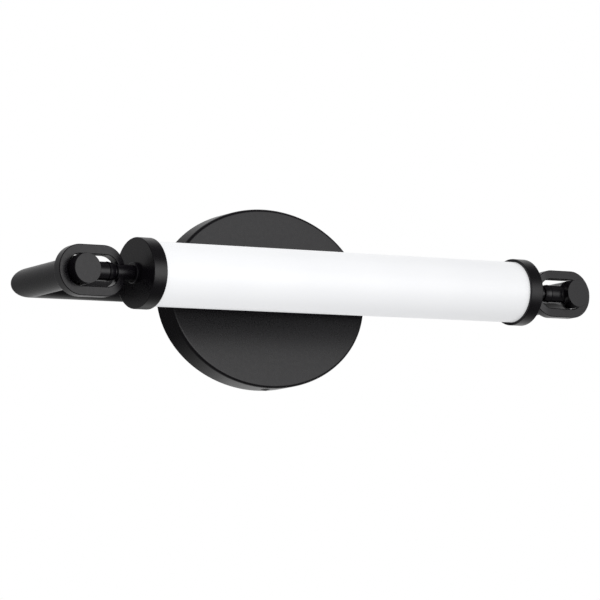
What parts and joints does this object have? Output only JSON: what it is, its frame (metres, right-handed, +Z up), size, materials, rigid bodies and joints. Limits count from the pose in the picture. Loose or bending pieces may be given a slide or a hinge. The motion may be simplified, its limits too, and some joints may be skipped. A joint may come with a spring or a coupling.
{
  "type": "picture light",
  "caption": "Wall-mounted linear picture light: opal tube lamp tilting between two oval links on a U-shaped tube arm and an oval backplate, satin black.",
  "frame": {"origin": "centre of the backplate's outline on the wall plane, which is also the centre of the crossbar's two box-screw slots", "axes": "+X along the lamp, +Y into the wall, +Z up; the lamp and arm stand towards -Y"},
  "size_m": [0.4268, 0.1171, 0.1232],
  "materials": {
    "black_paint": "satin black powder coat, very fine orange-peel",
    "opal_glass": "cased opal white, smooth and softly glossy, opaque",
    "zinc_steel": "zinc-plated, dull bright",
    "bright_steel": "turned bright steel",
    "brass": "machined, unlacquered",
    "aluminium": "mill finish extrusion",
    "green_screw": "green earth-screw coating",
    "copper": "bare copper wire",
    "driver_case": "moulded, fine texture",
    "foam_pad": "closed-cell adhesive foam",
    "gasket_rubber": "silicone, matt",
    "black_wire": "smooth insulation",
    "white_wire": "smooth insulation",
    "white_board": "white solder mask",
    "led_phosphor": "clear yellow phosphor lens"
  },
  "bodies": {
    "wall_frame": {"backplate": "black_paint", "crossbar": "zinc_steel", "canopy_screws": "black_paint", "ground_screw": "green_screw", "arm_boss": "black_paint", "hub_nipple": "brass", "hub_washer": "zinc_steel", "hub_nut": "brass", "arm_frame": "black_paint", "end_plug_left": "black_paint", "end_plug_right": "black_paint", "link_left": "black_paint", "link_right": "black_paint", "tube_stub_left": "black_paint", "tube_stub_right": "black_paint", "clamp_nut_left": "black_paint", "clamp_nut_right": "black_paint", "spindle_left": "bright_steel", "spindle_right": "bright_steel", "ferrule_left": "black_paint", "ferrule_right": "black_paint", "spring_washer_left": "bright_steel", "spring_washer_right": "bright_steel", "spindle_nut_left": "brass", "spindle_nut_right": "brass", "led_driver": "driver_case", "driver_pad": "foam_pad", "live_lead": "black_wire", "neutral_lead": "white_wire", "ground_lead": "copper", "arm_cable": "white_wire"},
    "lamp_head": {"pivot_bush_left": "black_paint", "pivot_bush_right": "black_paint", "bush_nut_left": "zinc_steel", "bush_nut_right": "zinc_steel", "end_cap_left": "black_paint", "end_cap_right": "black_paint", "end_bracket_left": "zinc_steel", "end_bracket_right": "zinc_steel", "bracket_screws": "zinc_steel", "shade_tube": "opal_glass", "gasket_left": "gasket_rubber", "gasket_right": "gasket_rubber", "heat_sink": "aluminium", "led_board": "white_board", "led_chips": "led_phosphor", "board_screws": "bright_steel", "head_cable": "white_wire"}
  },
  "joints": [
    {"name": "lamp_tilt", "type": "hinge", "parent": "wall_frame", "child": "lamp_head", "pos_m": [0, -0.0945, 0], "axis": [1, 0, 0], "range_deg": [-90, 90]}
  ]
}
